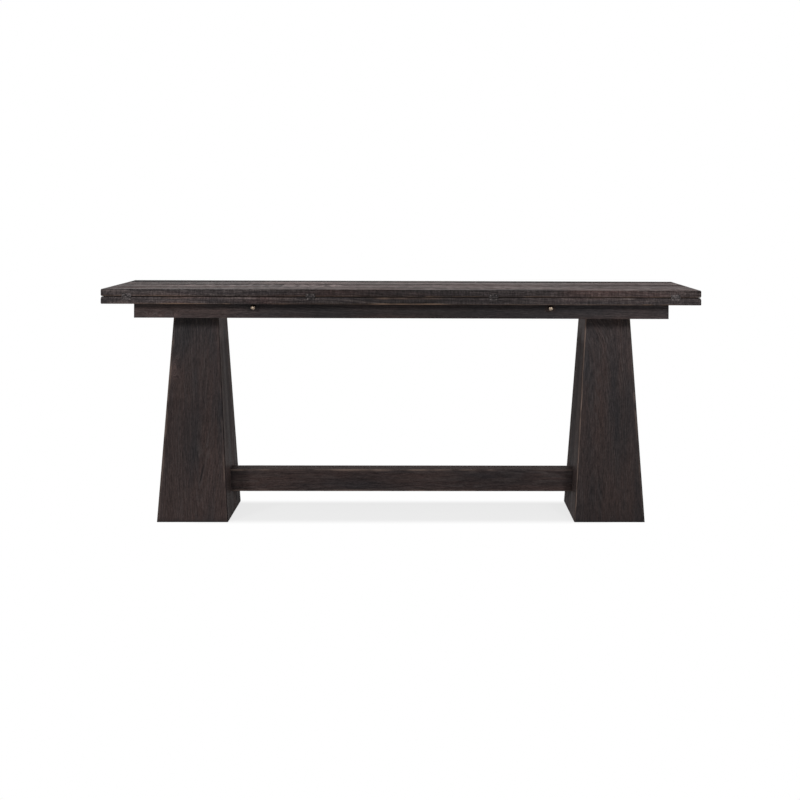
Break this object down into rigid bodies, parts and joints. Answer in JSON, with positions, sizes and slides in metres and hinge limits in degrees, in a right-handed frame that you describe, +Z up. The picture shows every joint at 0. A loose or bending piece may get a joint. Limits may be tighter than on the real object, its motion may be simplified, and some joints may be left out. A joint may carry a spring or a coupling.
{
  "type": "flip-top console table",
  "caption": "Long console table with a folded top leaf that flips forward onto pull-out supports, standing on tapered hollow pylons joined by a low stretcher.",
  "frame": {"origin": "on the floor, under the middle of the closed top", "axes": "+Z up, +X along the table's length to the right, -Y to the front, where the hinges and knobs are"},
  "size_m": [1.981, 0.4601, 0.7916],
  "materials": {
    "dark_oak": "brushed open-grain oak in a brown-black stain, matt, worn to brown along the edges",
    "plain_hardwood": "planed, unstained inside wood",
    "dark_steel": "dark bronzed steel",
    "aged_brass": "aged satin brass",
    "zinc_steel": "zinc plated",
    "felt": "dark felt",
    "glide_plastic": "moulded"
  },
  "bodies": {
    "base": {"apron_centre_rail": "plain_hardwood", "apron_corner_blocks": "plain_hardwood", "apron_front_rail": "dark_oak", "apron_left_rail": "dark_oak", "apron_rear_rail": "dark_oak", "apron_right_rail": "dark_oak", "bolt_washers": "zinc_steel", "floor_glides": "glide_plastic", "hinge_1_lower_plate": "dark_steel", "hinge_2_lower_plate": "dark_steel", "hinge_3_lower_plate": "dark_steel", "hinge_4_lower_plate": "dark_steel", "hinge_lower_screws": "dark_steel", "hinge_pins": "dark_steel", "leaf_bumpers": "felt", "left_loper_inner_guide": "plain_hardwood", "left_loper_outer_guide": "plain_hardwood", "left_mounting_plate": "plain_hardwood", "left_pylon_corner_posts": "plain_hardwood", "left_pylon_front_board": "dark_oak", "left_pylon_inner_board": "dark_oak", "left_pylon_outer_board": "dark_oak", "left_pylon_rear_board": "dark_oak", "left_pylon_top_block": "plain_hardwood", "left_stretcher_cleat": "plain_hardwood", "lower_leaf_front_plank": "dark_oak", "lower_leaf_rear_plank": "dark_oak", "pylon_bolts": "zinc_steel", "right_loper_inner_guide": "plain_hardwood", "right_loper_outer_guide": "plain_hardwood", "right_mounting_plate": "plain_hardwood", "right_pylon_corner_posts": "plain_hardwood", "right_pylon_front_board": "dark_oak", "right_pylon_inner_board": "dark_oak", "right_pylon_outer_board": "dark_oak", "right_pylon_rear_board": "dark_oak", "right_pylon_top_block": "plain_hardwood", "right_stretcher_cleat": "plain_hardwood", "stretcher": "dark_oak", "stretcher_bolts": "zinc_steel", "stretcher_inserts": "aged_brass", "top_fixing_screws": "zinc_steel"},
    "flip_leaf": {"upper_leaf_front_plank": "dark_oak", "upper_leaf_rear_plank": "dark_oak", "hinge_upper_screws": "dark_steel", "hinge_1_upper_plate": "dark_steel", "hinge_2_upper_plate": "dark_steel", "hinge_3_upper_plate": "dark_steel", "hinge_4_upper_plate": "dark_steel"},
    "left_loper_slide": {"left_loper": "dark_oak", "left_loper_knob": "aged_brass", "left_loper_knob_stud": "zinc_steel", "left_loper_stop_pin": "plain_hardwood"},
    "right_loper_slide": {"right_loper": "dark_oak", "right_loper_knob": "aged_brass", "right_loper_knob_stud": "zinc_steel", "right_loper_stop_pin": "plain_hardwood"}
  },
  "joints": [
    {"name": "leaf_flip", "type": "hinge", "parent": "base", "child": "flip_leaf", "pos_m": [0, -0.229, 0.767], "axis": [1, 0, 0], "range_deg": [0, 180]},
    {"name": "left_loper_pull", "type": "slide", "parent": "base", "child": "left_loper_slide", "axis": [0, -1, 0], "range_m": [0, 0.185]},
    {"name": "right_loper_pull", "type": "slide", "parent": "base", "child": "right_loper_slide", "axis": [0, -1, 0], "range_m": [0, 0.185]}
  ]
}
